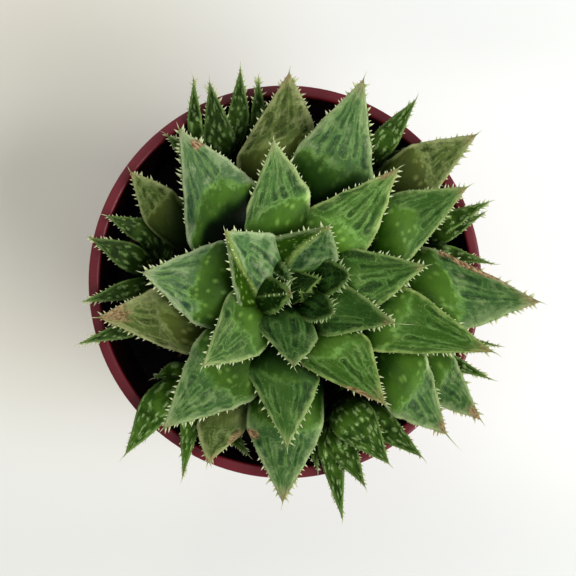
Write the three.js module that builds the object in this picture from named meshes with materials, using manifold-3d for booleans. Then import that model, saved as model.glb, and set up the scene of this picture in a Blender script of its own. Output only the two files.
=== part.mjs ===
// A potted haworthia: one rosette of thick, pointed leaves with flat windowed ends and toothed edges,
// a ring of small offsets round its foot, dark soil, and a thin round nursery pot with a plain collar.
// Millimetres, +Z up. The origin is the middle of the pot's underside.
// Compass words in the names: north is +Y and east is +X.

import * as THREE from 'three';
import { mergeVertices } from 'three/addons/utils/BufferGeometryUtils.js';
import Module from 'manifold-3d';

const wasm = await Module();
wasm.setup();

// ---------------------------------------------------------------- driving dimensions

const GAP = 0.3;                 // clearance between pieces that lie on each other

const POT_HEIGHT = 76;
const RIM_RADIUS = 45;           // outside of the rim, a 9 cm pot
const RIM_BAND = 2.6;            // width of the rim seen from above
const COLLAR_HEIGHT = 8.5;
const POT_WALL = 1.2;
const POT_FLOOR = 1.6;
const FLOOR_RADIUS = 30.2;       // inside, at the floor
const POT_SIDES = 48;
const FOOT_CHAMFER = 0.8;
const RIM_CHAMFER = 0.5;
const DRAIN_COUNT = 6;
const DRAIN_RADIUS = 3;
const DRAIN_RING = 21;           // distance of the drain holes from the pot's axis
const DRAIN_SIDES = 10;

const SOIL_DEPTH = 14.5;         // soil surface below the rim
const SOIL_BUMP = 0.7;           // height of its unevenness
const SOIL_RINGS = 5;

const STEM_AT = [4.8, -1.9];     // the rosette stands a little off the pot's axis
const STEM_RADIUS = 3;
const STEM_TOP = 7;              // above the rim
const STEM_ROOT = 26;            // below the rim
const OFFSET_STEM_RADIUS = 1.8;
const OFFSET_STEM_TOP = 9.5;     // below the rim
const OFFSET_STEM_ROOT = 21;     // below the rim
const OFFSET_ROOT_DEPTH = 2;     // how far an offset's leaves start inside its stem
const STEM_SIDES = 10;
const STEM_CAP_FLAT = 0.4;       // the stem's rounded top, in shares of its radius
const STEM_CAP_RISE = 0.2;

const ROOT_CLEARANCE = 0.8;      // from the root of a leaf to the stem
const EDGE_THICKNESS = 0.7;      // of a leaf's margin
const TOOTH_LENGTH = 1.2;
const TOOTH_BASE = 1.1;
const TOOTH_PITCH = 3.4;
const OFFSET_TOOTH_LENGTH = 0.9;
const OFFSET_TOOTH_BASE = 1;
const OFFSET_TOOTH_PITCH = 4;
const TOOTH_LEAN = 0.4;          // towards the tip, a share of its length
const FIRST_TOOTH = 1.2;         // the teeth shorten from the root to the tip of a leaf,
const LAST_TOOTH = 0.7;          // in shares of their length
const BUD_LEAF_WIDTH = 4.6;
const BUD_ROOT_DEPTH = 2;        // how far the bud's leaves start inside the stem

// ---------------------------------------------------------------- leaves of the rosette
// Each row: name, tone, knee, tip, width, roll, skew, foot. The knee is the middle of the leaf's widest
// place, where it bends outward, and the tip is its point. Both are x, y from the pot's axis and z above
// the rim. roll turns the flat end sideways and skew sets one shoulder nearer the tip, in degrees. foot
// is the height of the leaf's root at the stem. The rows run from the heart outward, top to bottom:
// where two leaves would cross, the later one is cut back.

const LEAVES = [
  ['heart_west', 'deep', [-3, -3, 19], [1.5, -2.5, 24], 8.5, 0, 0, 5.5],
  ['heart_east', 'deep', [9.5, 1, 19], [14, 1.5, 22.5], 8, 0, 0, 5.5],
  ['heart_south', 'deep', [6.5, -5.5, 18], [10.5, -7, 22], 8, -15, 0, 5],
  ['heart_northwest', 'deep', [-1.5, 2, 18], [1.5, -0.5, 22], 5.5, 20, 0, 4.5],
  ['inner_north', 'deep', [4, 6, 18], [9.5, 12, 22.5], 14.5, 20, 26, 2],
  ['inner_west', 'deep', [-5.5, 2, 17.5], [-13, 11, 22], 16.5, 16, 22, 1.5],
  ['inner_south', 'deep', [0.5, -11, 18], [2, -18.5, 22], 13, 0, -25, 1],
  ['inner_east', 'deep', [11.5, -6.5, 17], [24, -9, 21], 12, 0, -13, 1],
  ['inner_northeast', 'bright', [16.5, 1, 15], [31, 3.5, 18.5], 14.5, 0, 16, -0.5],
  ['inner_southwest', 'bright', [-9, -9.5, 15.5], [-18, -18.5, 19], 14.5, 0, -20, -1],
  ['inner_southeast', 'bright', [11, -15.5, 14.5], [22, -27, 18], 15, -4, -20, -1.5],
  ['middle_northeast', 'bright', [11.5, 11.5, 13.5], [25, 25, 16.5], 16, 0, 16, -3],
  ['middle_north', 'bright', [-2, 15.5, 13], [-2.5, 31, 17], 16, -6, 26, -3.5],
  ['middle_west', 'bright', [-16.5, -0.5, 11.5], [-31.5, 2, 14.5], 20, 0, -5, -4],
  ['middle_east', 'bright', [24, -8.5, 12], [46, -15.5, 15], 16, 0, -11, -4.5],
  ['middle_south', 'bright', [-0.5, -20.5, 11.5], [0.5, -36.5, 14.5], 16.5, 0, -15, -5],
  ['middle_eastnortheast', 'bright', [25.5, 12, 10.5], [40.5, 21, 13.5], 15, 0, -15, -5.5],
  ['middle_northwest', 'bright', [-14, 15, 9.5], [-23.5, 34, 12.5], 20, -5, 18, -6],
  ['middle_southwest', 'deep', [-13.5, -19.5, 10], [-27, -32.5, 12.5], 19, -8, -3, -6.5],
  ['middle_northnortheast', 'bright', [10.5, 25.5, 9], [17.5, 45, 12.5], 19, 5, 4, -7],
  ['middle_southeast', 'bright', [27.5, -23, 9], [36, -34, 11], 14.5, 0, 19, -7],
  ['outer_east', 'deep', [36, -1.5, 7.5], [57, -4.5, 9.5], 18, -8, 26, -8],
  ['outer_west', 'olive', [-25.5, -9, 6], [-42, -8, 8], 15, -6, 26, -8.5],
  ['outer_south', 'deep', [0, -32.5, 6], [-0.5, -49.5, 8], 17.5, 0, 0, -9],
  ['outer_southeast', 'deep', [35, -21.5, 5], [44, -31, 7], 11.5, 0, 18, -9.5],
  ['outer_north', 'olive', [-2, 31, 4.5], [1, 47, 8], 16.5, 0, 28, -10],
  ['outer_northeast', 'olive', [30.5, 25, 5], [43, 33, 9], 12.5, 5, -10, -10],
  ['outer_northwest', 'olive', [-28.5, 17, 3], [-35, 25, 5], 10, -10, 10, -10.5],
  ['outer_southwest', 'olive', [-14.5, -33, 3], [-17.5, -41, 5], 11, 0, 14, -11],
];

// ---------------------------------------------------------------- offsets
// Small rosettes round the foot of the plant. Each has its place in the soil and its own leaves,
// written as knee x, y, z, tip x, y, z and width.

const OFFSETS = [
  {
    name: 'northwest',
    at: [-14.5, 27],
    leaves: [
      [-20.5, 36.5, 2, -20.5, 45.5, 6, 3.5],
      [-15, 33, 0, -17, 45, 5, 7.5],
      [-10.5, 38, 1.5, -10, 48, 6, 5],
      [-6, 38.5, 1, -6, 46, 5, 3.5],
      [-22.5, 29.5, -3, -27, 33.5, 1.5, 4],
    ],
  },
  {
    name: 'west',
    at: [-29.5, 1],
    leaves: [
      [-33.5, 12, -0.5, -40.5, 15, 3.5, 5.5],
      [-36, 6, 1.5, -44, 10, 5.5, 6.5],
      [-36.5, -2, 1.5, -45.5, -4.5, 5, 4.5],
      [-35.5, -10.5, 1.5, -46.5, -14, 5, 4.5],
      [-29, 11, -4, -33, 19, 0, 6],
    ],
  },
  {
    name: 'southwest',
    at: [-20, -22.5],
    leaves: [
      [-29, -28.5, 3.5, -36, -39, 6.5, 8],
      [-26, -20.5, -4, -30, -22, -1, 4],
      [-21.5, -31.5, 1, -23, -44, 5.5, 5],
      [-15, -32, -5, -8, -40, -1, 5.5],
    ],
  },
  {
    name: 'southeast',
    at: [12.5, -26],
    leaves: [
      [16, -32, 4, 23.5, -41, 6.5, 10.5],
      [10.5, -39, 1, 13, -53.5, 6, 6],
      [13, -37.5, 1.5, 18, -46, 6, 7],
      [22, -32.5, 1.5, 31, -39.5, 6, 7],
      [6, -36, -2, 7.5, -43, 2, 3.5],
    ],
  },
  {
    name: 'northeast',
    at: [16.5, 23.5],
    leaves: [
      [23, 32.5, 4, 29.5, 41, 7, 6],
      [24.5, 28.5, -3, 28.5, 30.5, 0, 3],
    ],
  },
  {
    name: 'east',
    at: [31, 7.5],
    leaves: [
      [37.5, 14, 3, 46, 18, 6, 4.5],
      [37, 11.5, 2, 45, 15.5, 5, 4.5],
      [37.5, 6.5, 2.5, 47, 4, 5, 3.5],
    ],
  },
  {
    name: 'eastsoutheast',
    at: [30, -12.5],
    leaves: [
      [37.5, -13, 3, 48.5, -14.5, 5, 3.5],
      [36.5, -17.5, 2.5, 46.5, -22, 5, 4],
    ],
  },
];

// ---------------------------------------------------------------- materials

const LEAF_TONES = { deep: 0x3a6130, bright: 0x4f8038, olive: 0x6c7a42 };
const OFFSET_GREEN = 0x33562c;
const STEM_GREEN = 0x3c5a2c;
const SOIL_BROWN = 0x1d1612;
const POT_MAROON = 0x6e2a33;

function matt(color, roughness) {
  return new THREE.MeshStandardMaterial({ color, roughness, metalness: 0 });
}

// ---------------------------------------------------------------- solids

const WELD = 1e-5;               // points nearer than this are one

function solidOf(geometry) {
  const bare = geometry.clone();
  bare.deleteAttribute('normal');
  bare.deleteAttribute('uv');
  const welded = mergeVertices(bare, WELD);
  const vertProperties = new Float32Array(welded.attributes.position.array);
  const triVerts = new Uint32Array(welded.index.array);
  return new wasm.Manifold(new wasm.Mesh({ numProp: 3, vertProperties, triVerts }));
}

function geometryOf(solid) {
  const mesh = solid.getMesh();
  const geometry = new THREE.BufferGeometry();
  geometry.setAttribute('position', new THREE.BufferAttribute(new Float32Array(mesh.vertProperties), 3));
  geometry.setIndex(new THREE.BufferAttribute(new Uint32Array(mesh.triVerts), 1));
  geometry.computeVertexNormals();
  return geometry;
}

// The largest of the loose bodies that a cut has left.
function largestBody(solid) {
  return solid.decompose().reduce((best, body) => (body.volume() > best.volume() ? body : best));
}

function boxesMeet(a, b) {
  const p = a.boundingBox();
  const q = b.boundingBox();
  return [0, 1, 2].every((i) => p.min[i] <= q.max[i] && q.min[i] <= p.max[i]);
}

function cutBy(solid, cutters) {
  let rest = solid;
  for (const cutter of cutters) {
    if (boxesMeet(rest, cutter)) {
      rest = rest.subtract(cutter);
    }
  }
  return largestBody(rest);
}

// A round solid on the line x, y from a profile of [radius, z] pairs that runs from axis to axis.
function turned(profile, sides, x, y) {
  const lathe = new THREE.LatheGeometry(profile.map(([r, z]) => new THREE.Vector2(r, z)), sides);
  lathe.rotateX(Math.PI / 2);
  lathe.translate(x, y, 0);
  return solidOf(lathe);
}

// ---------------------------------------------------------------- a leaf

const KNEE_AT = 0.5;             // share of the leaf's length below the knee
const HEEL_STATIONS = [0, 0.16, 0.31];
const OFFSET_HEEL_STATIONS = [0, 0.26];
const TOOTHED_FROM = 0.43;
const TOOTHED_TO = 0.95;
const HEEL_REACH = 0.35;         // length of the heel curve's handles, a share of its rise
const HEEL_LIFT = 0.07;          // how much steeper it starts
const UP = new THREE.Vector3(0, 0, 1);

function smoothStep(from, to, value) {
  const x = Math.min(Math.max((value - from) / (to - from), 0), 1);
  return x * x * (3 - 2 * x);
}

function mix(a, b, share) {
  return a + (b - a) * share;
}

function point([x, y, z]) {
  return new THREE.Vector3(x, y, z + POT_HEIGHT);
}

// The middle line: a smooth rise from the root to the knee, then straight on to the tip.
function middleLine(leaf) {
  const rise = leaf.knee.clone().sub(leaf.root);
  const end = leaf.tip.clone().sub(leaf.knee);
  const startHandle = leaf.root.clone()
    .addScaledVector(rise, HEEL_REACH)
    .addScaledVector(UP, rise.length() * HEEL_LIFT);
  const kneeHandle = leaf.knee.clone().addScaledVector(end.normalize(), -rise.length() * HEEL_REACH);
  const heel = new THREE.CubicBezierCurve3(leaf.root, startHandle, kneeHandle, leaf.knee);
  const blade = new THREE.LineCurve3(leaf.knee, leaf.tip);
  return { heel, blade };
}

// The frame of one cross-section: its middle, and the directions along, to the side and up.
function frameAt(leaf, t) {
  const { heel, blade } = leaf.line;
  const onHeel = t < KNEE_AT;
  const share = onHeel ? t / KNEE_AT : (t - KNEE_AT) / (1 - KNEE_AT);
  const curve = onHeel ? heel : blade;
  const middle = curve.getPoint(share);
  const along = curve.getTangent(share);
  const outward = leaf.knee.clone().sub(leaf.root).setZ(0).cross(UP).normalize();
  const ahead = leaf.tip.clone().sub(leaf.knee).cross(UP).normalize();
  if (ahead.dot(outward) < 0) {
    ahead.negate();
  }
  const side = outward.lerp(ahead, smoothStep(0.1, KNEE_AT, t));
  side.addScaledVector(along, -side.dot(along)).normalize();
  side.applyAxisAngle(along, THREE.MathUtils.degToRad(leaf.roll) * smoothStep(0, KNEE_AT, t));
  const up = side.clone().cross(along);
  return { middle, along, side, up };
}

// Half width, height of the crown over the margins and depth of the keel under them.
function sizesAt(leaf, t) {
  const u = Math.max((t - KNEE_AT) / (1 - KNEE_AT), 0);
  const heel = Math.sin(Math.PI * Math.min(t, KNEE_AT));
  const taper = 1 - u;
  return {
    half: leaf.width * 0.5 * mix(0.26, 1, heel) * taper * (1 + 0.3 * u * taper),
    crown: leaf.width * mix(0.07, 0.08, heel) * taper ** 1.2,
    keel: leaf.width * mix(0.1, 0.33, heel) * taper ** 0.85,
  };
}

// The cross-section runs from the crown round by the right margin, the back and the left margin. The
// margins are rounded on the heel and narrow strips from the knee to the tip. The rosette's leaves are
// plump, with a bulging back, and the offsets' leaves are plain wedges.
function sectionAt(leaf, t, grow) {
  const { middle, along, side, up } = frameAt(leaf, t);
  const sizes = sizesAt(leaf, t);
  const half = sizes.half + grow;
  const crown = sizes.crown + grow;
  const keel = sizes.keel + grow;
  const edge = Math.min(EDGE_THICKNESS / 2, sizes.half) + grow;
  const sharp = smoothStep(0.3, TOOTHED_FROM, t);
  const margin = [
    [half, mix(0.05 * keel, edge, sharp)],
    [mix(0.93 * half, half, sharp), mix(-0.4 * keel, -edge, sharp)],
  ];
  const bulge = leaf.plump ? [[0.58 * half, -0.75 * keel]] : [];
  const right = [...margin, ...bulge];
  const left = [...right].reverse().map(([x, y]) => [-x, y]);
  const outline = [[0, Math.max(crown, edge)], ...right, [0, -keel], ...left];
  const start = middle.clone().addScaledVector(along, t === 0 ? -grow : 0);
  const slant = Math.tan(THREE.MathUtils.degToRad(leaf.skew)) * smoothStep(0.15, KNEE_AT, t);
  return outline.map(([x, y]) => start.clone()
    .addScaledVector(side, x)
    .addScaledVector(along, x * slant)
    .addScaledVector(up, y));
}

// Where the sections stand along a leaf: a few on the heel, then a gap and a tooth in turn.
function stationsOf(leaf, grow) {
  const range = TOOTHED_TO - TOOTHED_FROM;
  const toothed = leaf.knee.distanceTo(leaf.tip) * range / (1 - KNEE_AT);
  const count = Math.max(Math.round(toothed / leaf.tooth.pitch), 2);
  const base = (range * leaf.tooth.base) / toothed;
  const wider = (range * grow) / toothed;
  const stations = [...leaf.heelStations, TOOTHED_FROM];
  for (let i = 1; i <= count; i += 1) {
    const end = mix(TOOTHED_FROM, TOOTHED_TO, i / count);
    stations.push(end - base - wider, end + wider);
  }
  return stations;
}

// One closed leaf. grow widens it on every side, for cutting a clear space round it.
function leafSolid(leaf, grow) {
  const stations = stationsOf(leaf, grow);
  const sections = stations.map((t) => sectionAt(leaf, t, grow));
  const size = sections[0].length;
  const positions = [];
  const index = [];
  const vertex = (p) => positions.push(p.x, p.y, p.z) / 3 - 1;
  const rings = sections.map((section) => section.map(vertex));
  const rightStrip = 1;
  const leftStrip = size - 2;

  // The outward direction of a margin's tooth, or null where the segment carries none.
  const toothOn = (i, j) => {
    const step = i - leaf.heelStations.length;
    const isTooth = step > 0 && step % 2 === 1;
    if (!isTooth || (j !== rightStrip && j !== leftStrip)) {
      return null;
    }
    const mid = (stations[i] + stations[i + 1]) / 2;
    const { along, side } = frameAt(leaf, mid);
    return { out: j === rightStrip ? side : side.negate(), along, mid };
  };

  for (let i = 0; i < rings.length - 1; i += 1) {
    for (let j = 0; j < size; j += 1) {
      const next = (j + 1) % size;
      const quad = [rings[i][j], rings[i][next], rings[i + 1][next], rings[i + 1][j]];
      const tooth = toothOn(i, j);
      if (tooth) {
        const corners = [sections[i][j], sections[i][next], sections[i + 1][next], sections[i + 1][j]];
        const apex = new THREE.Vector3();
        corners.forEach((corner) => apex.addScaledVector(corner, 1 / corners.length));
        const length = leaf.tooth.length * mix(FIRST_TOOTH, LAST_TOOTH, tooth.mid) + grow * 2;
        apex.addScaledVector(tooth.out, length).addScaledVector(tooth.along, length * TOOTH_LEAN);
        const top = vertex(apex);
        quad.forEach((corner, k) => index.push(corner, quad[(k + 1) % 4], top));
      } else {
        index.push(quad[0], quad[1], quad[2], quad[0], quad[2], quad[3]);
      }
    }
  }
  const last = rings.length - 1;
  const rootAlong = frameAt(leaf, 0).along;
  const tipAlong = frameAt(leaf, 1).along;
  const root = vertex(leaf.root.clone().addScaledVector(rootAlong, -grow));
  const tip = vertex(leaf.tip.clone().addScaledVector(tipAlong, grow * 2));
  for (let j = 0; j < size; j += 1) {
    const next = (j + 1) % size;
    index.push(root, rings[0][next], rings[0][j], tip, rings[last][j], rings[last][next]);
  }
  const geometry = new THREE.BufferGeometry();
  geometry.setAttribute('position', new THREE.BufferAttribute(new Float32Array(positions), 3));
  geometry.setIndex(index);
  return solidOf(geometry);
}

function prepared(leaf) {
  return { ...leaf, line: middleLine(leaf) };
}

function rosetteLeaf(knee, tip, width, roll, skew, foot) {
  const [x, y] = STEM_AT;
  const outward = new THREE.Vector3(knee[0] - x, knee[1] - y, 0).normalize();
  const root = point([x, y, foot]).addScaledVector(outward, STEM_RADIUS + ROOT_CLEARANCE);
  return prepared({
    root,
    knee: point(knee),
    tip: point(tip),
    width,
    roll,
    skew,
    plump: true,
    heelStations: HEEL_STATIONS,
    tooth: { length: TOOTH_LENGTH, base: TOOTH_BASE, pitch: TOOTH_PITCH },
  });
}

// A small leaf without a bulging back, for an offset or the bud.
function plainLeaf(root, knee, tip, width) {
  return prepared({
    root: point(root),
    knee: point(knee),
    tip: point(tip),
    width,
    roll: 0,
    skew: 0,
    plump: false,
    heelStations: OFFSET_HEEL_STATIONS,
    tooth: { length: OFFSET_TOOTH_LENGTH, base: OFFSET_TOOTH_BASE, pitch: OFFSET_TOOTH_PITCH },
  });
}

// ---------------------------------------------------------------- stems, soil and pot

function stemSolid(at, radius, root, top, grow) {
  const profile = [
    [0, root - grow],
    [radius + grow, root - grow],
    [radius + grow, top - radius],
    [radius * STEM_CAP_FLAT + grow, top + grow],
    [0, top + radius * STEM_CAP_RISE + grow],
  ];
  return turned(profile, STEM_SIDES, at[0], at[1]);
}

// The young leaves of the bud, fused to the stem's top: the place of each tip, x and y from the stem.
const BUD_TIPS = [[-2.4, 0.6, 15], [-0.4, 2.2, 16], [0.9, -0.4, 15.5]];
const BUD_ROOT_SPREAD = 0.3;     // share of the tip's x and y at the leaf's root
const BUD_KNEE_SPREAD = 0.9;     // and at its knee, which is half way up

function budLeaf([dx, dy, z]) {
  const [x, y] = STEM_AT;
  const root = [x + dx * BUD_ROOT_SPREAD, y + dy * BUD_ROOT_SPREAD, STEM_TOP - BUD_ROOT_DEPTH];
  const knee = [x + dx * BUD_KNEE_SPREAD, y + dy * BUD_KNEE_SPREAD, mix(STEM_TOP, z, 0.5)];
  return plainLeaf(root, knee, [x + dx, y + dy, z], BUD_LEAF_WIDTH);
}

function mainStem(grow) {
  const stem = stemSolid(STEM_AT, STEM_RADIUS, POT_HEIGHT - STEM_ROOT, POT_HEIGHT + STEM_TOP, grow);
  return BUD_TIPS.reduce((solid, tip) => solid.add(leafSolid(budLeaf(tip), grow)), stem);
}

function offsetStem(at, top, grow) {
  return stemSolid(at, OFFSET_STEM_RADIUS, POT_HEIGHT - OFFSET_STEM_ROOT, top, grow);
}

function offsetSolid(offset, grow) {
  const root = [...offset.at, -OFFSET_STEM_TOP - OFFSET_ROOT_DEPTH];
  return offset.leaves.reduce((solid, values) => {
    const leaf = plainLeaf(root, values.slice(0, 3), values.slice(3, 6), values[6]);
    return solid.add(leafSolid(leaf, grow));
  }, offsetStem(offset.at, POT_HEIGHT - OFFSET_STEM_TOP, grow));
}

const POT_INNER_RIM = RIM_RADIUS - RIM_BAND;
const POT_SLOPE = (POT_INNER_RIM - FLOOR_RADIUS) / (POT_HEIGHT - POT_FLOOR);

function potInside(z) {
  return FLOOR_RADIUS + (z - POT_FLOOR) * POT_SLOPE;
}

function soilHeight(x, y) {
  const bumps = Math.sin(0.55 * x + 1) * Math.cos(0.5 * y) + 0.5 * Math.sin(1.3 * x + 0.8 * y);
  return POT_HEIGHT - SOIL_DEPTH + SOIL_BUMP * bumps;
}

function soilSolid(stems) {
  const bottom = POT_FLOOR + GAP;
  const topRadius = potInside(POT_HEIGHT - SOIL_DEPTH) - GAP;
  const bottomRadius = potInside(bottom) - GAP;
  const positions = [0, 0, soilHeight(0, 0), 0, 0, bottom];
  const index = [];
  const rings = [];
  const addRing = (radius, heightAt) => {
    const ring = [];
    for (let k = 0; k < POT_SIDES; k += 1) {
      const angle = (k / POT_SIDES) * Math.PI * 2;
      const x = radius * Math.cos(angle);
      const y = radius * Math.sin(angle);
      ring.push(positions.push(x, y, heightAt(x, y)) / 3 - 1);
    }
    rings.push(ring);
  };
  for (let i = 1; i <= SOIL_RINGS; i += 1) {
    addRing((topRadius * i) / SOIL_RINGS, i < SOIL_RINGS ? soilHeight : () => POT_HEIGHT - SOIL_DEPTH);
  }
  addRing(bottomRadius, () => bottom);
  for (let k = 0; k < POT_SIDES; k += 1) {
    const next = (k + 1) % POT_SIDES;
    index.push(0, rings[0][k], rings[0][next]);
    for (let i = 0; i < rings.length - 1; i += 1) {
      const [a, b] = [rings[i], rings[i + 1]];
      index.push(a[k], b[k], b[next], a[k], b[next], a[next]);
    }
    const base = rings[rings.length - 1];
    index.push(1, base[next], base[k]);
  }
  const geometry = new THREE.BufferGeometry();
  geometry.setAttribute('position', new THREE.BufferAttribute(new Float32Array(positions), 3));
  geometry.setIndex(index);
  return stems.reduce((soil, hole) => soil.subtract(hole), solidOf(geometry));
}

function potSolid() {
  const collarFoot = POT_HEIGHT - COLLAR_HEIGHT;
  const wall = POT_WALL / Math.cos(Math.atan(POT_SLOPE));
  const outside = (z) => potInside(z) + wall;
  const profile = [
    [0, 0],
    [outside(0) - FOOT_CHAMFER, 0],
    [outside(FOOT_CHAMFER), FOOT_CHAMFER],
    [outside(collarFoot - RIM_CHAMFER), collarFoot - RIM_CHAMFER],
    [potInside(collarFoot) + RIM_BAND, collarFoot],
    [RIM_RADIUS, POT_HEIGHT - RIM_CHAMFER],
    [RIM_RADIUS - RIM_CHAMFER, POT_HEIGHT],
    [POT_INNER_RIM + RIM_CHAMFER, POT_HEIGHT],
    [potInside(POT_HEIGHT - RIM_CHAMFER), POT_HEIGHT - RIM_CHAMFER],
    [FLOOR_RADIUS, POT_FLOOR],
    [0, POT_FLOOR],
  ];
  let pot = turned(profile, POT_SIDES, 0, 0);
  for (let k = 0; k < DRAIN_COUNT; k += 1) {
    const angle = ((k + 0.5) / DRAIN_COUNT) * Math.PI * 2;
    const hole = new THREE.CylinderGeometry(DRAIN_RADIUS, DRAIN_RADIUS, POT_FLOOR * 3, DRAIN_SIDES);
    hole.rotateX(Math.PI / 2);
    hole.translate(DRAIN_RING * Math.cos(angle), DRAIN_RING * Math.sin(angle), 0);
    pot = pot.subtract(solidOf(hole));
  }
  return pot;
}

// ---------------------------------------------------------------- the plant in its pot

const plant = new THREE.Group();

function addPiece(name, solid, material) {
  const mesh = new THREE.Mesh(geometryOf(solid), material);
  mesh.name = name;
  plant.add(mesh);
}

addPiece('pot', potSolid(), matt(POT_MAROON, 0.55));

// The rosette's own stem and each offset's stem stand in a plain round hole, a gap wider all round.
const stemHoles = [
  stemSolid(STEM_AT, STEM_RADIUS, POT_HEIGHT - STEM_ROOT, POT_HEIGHT, GAP),
  ...OFFSETS.map((offset) => offsetStem(offset.at, POT_HEIGHT, GAP)),
];
addPiece('soil', soilSolid(stemHoles), matt(SOIL_BROWN, 0.95));
addPiece('stem', mainStem(0), matt(STEM_GREEN, 0.6));

// From the heart outward each leaf is cut clear of all that lie over it.
const clearances = [mainStem(GAP)];
for (const [name, tone, ...shape] of LEAVES) {
  const leaf = rosetteLeaf(...shape);
  addPiece(`leaf_${name}`, cutBy(leafSolid(leaf, 0), clearances), matt(LEAF_TONES[tone], 0.5));
  clearances.push(leafSolid(leaf, GAP));
}
for (const offset of OFFSETS) {
  addPiece(`offset_${offset.name}`, cutBy(offsetSolid(offset, 0), clearances), matt(OFFSET_GREEN, 0.55));
  clearances.push(offsetSolid(offset, GAP));
}

export default plant;
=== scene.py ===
"""The looks of the potted haworthia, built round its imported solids.

Every leaf, offset and stem, the soil and the pot is replaced by a finer piece on the same lines: the leaf
tables below repeat those of the solids. Lengths are in millimetres until a mesh is made. Heights in the
tables are above the pot's rim. North is +Y and east is +X. Colours are screen values from 0 to 255.
"""

import math
from dataclasses import dataclass

import bpy
import numpy as np
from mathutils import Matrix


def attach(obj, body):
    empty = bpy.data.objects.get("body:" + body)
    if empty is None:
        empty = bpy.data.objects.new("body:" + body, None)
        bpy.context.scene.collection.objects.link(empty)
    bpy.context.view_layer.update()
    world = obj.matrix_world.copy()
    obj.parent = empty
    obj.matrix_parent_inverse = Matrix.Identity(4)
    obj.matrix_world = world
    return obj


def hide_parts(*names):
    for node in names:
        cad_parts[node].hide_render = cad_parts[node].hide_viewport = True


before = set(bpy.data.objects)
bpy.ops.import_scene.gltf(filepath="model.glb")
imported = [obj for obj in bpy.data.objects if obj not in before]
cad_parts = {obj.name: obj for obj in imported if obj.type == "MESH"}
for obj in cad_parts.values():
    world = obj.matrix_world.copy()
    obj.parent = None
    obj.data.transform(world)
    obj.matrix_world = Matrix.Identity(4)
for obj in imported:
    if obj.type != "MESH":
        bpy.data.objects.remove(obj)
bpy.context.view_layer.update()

MM = 0.001
BODY = "root"
UP = np.array([0.0, 0.0, 1.0])

# ---------------- driving dimensions, as in the solids

POT_HEIGHT = 76
RIM_RADIUS = 45
RIM_BAND = 2.6
COLLAR_HEIGHT = 8.5
POT_WALL = 1.2
POT_FLOOR = 1.6
FLOOR_RADIUS = 30.2
WALL_SLOPE = (RIM_RADIUS - RIM_BAND - FLOOR_RADIUS) / (POT_HEIGHT - POT_FLOOR)
DRAIN_COUNT = 6
DRAIN_RADIUS = 3
DRAIN_RING = 21
SOIL_DEPTH = 14.5
SOIL_BUMP = 0.7
GAP = 0.3

STEM_AT = (4.8, -1.9)
STEM_RADIUS = 3
STEM_TOP = 7
STEM_ROOT = 26
OFFSET_STEM_RADIUS = 1.8
OFFSET_STEM_TOP = 9.5
OFFSET_STEM_ROOT = 21
OFFSET_ROOT_DEPTH = 2
BUD_ROOT_DEPTH = 2
ROOT_CLEARANCE = 0.8

KNEE_AT = 0.5                    # shares of a leaf's length
TOOTHED_FROM = 0.43
HEEL_REACH = 0.35                # shares of the way from root to knee
HEEL_LIFT = 0.07

# ---------------- sizes that the scene adds

MARGIN = 0.3                     # half the thickness of a leaf's margin
YOUNG_TAPER = 0.72               # how the youngest leaves narrow to the tip: less than 1 is blunter
YOUNG_TEETH = (1.3, 0.8)         # length and pitch of the teeth on the youngest leaves
LEAF_TEETH = (0.72, 1.0, 1.25)   # length on green and on bluish leaves, and pitch
OFFSET_TEETH = (0.85, 0.5, 1.1)  # length on dark and on light offsets, and pitch
BUD_TEETH = (0.6, 0.9)
TOOTH_THIN = 0.5                 # thickness of a tooth as a share of its width
TOOTH_WIDE = 0.45                # half its width at the root, for a length of 1
SUNK = 0.25                      # how deep a tooth's root lies in the leaf
AWN_RADIUS = 0.17
AWN_SUNK = 0.6
SPIKE_SIDES = 6
FINE = (50, 22)                  # points across the face and steps under the back of a large leaf
COARSE = (16, 12)                # the same of a small one
PANE_WIDTH = 3.1
MARKS_APART = np.array([37.1, 23.3, 9.7])    # keeps the marks of two leaves from being the same
BACK_APART = 40.0                # and those of a leaf's back from those of its face
CRUMBS = 620
SCRAPS = 46
SCRAPS_AT = (5.5, -35)           # dry scraps lie here, at the foot of the southern leaves

# ---------------- leaves of the rosette
# name, tone, knee, tip, width, roll, skew, foot as in the solids, then how brown the tip is and the length
# of the bristle on it.

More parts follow.
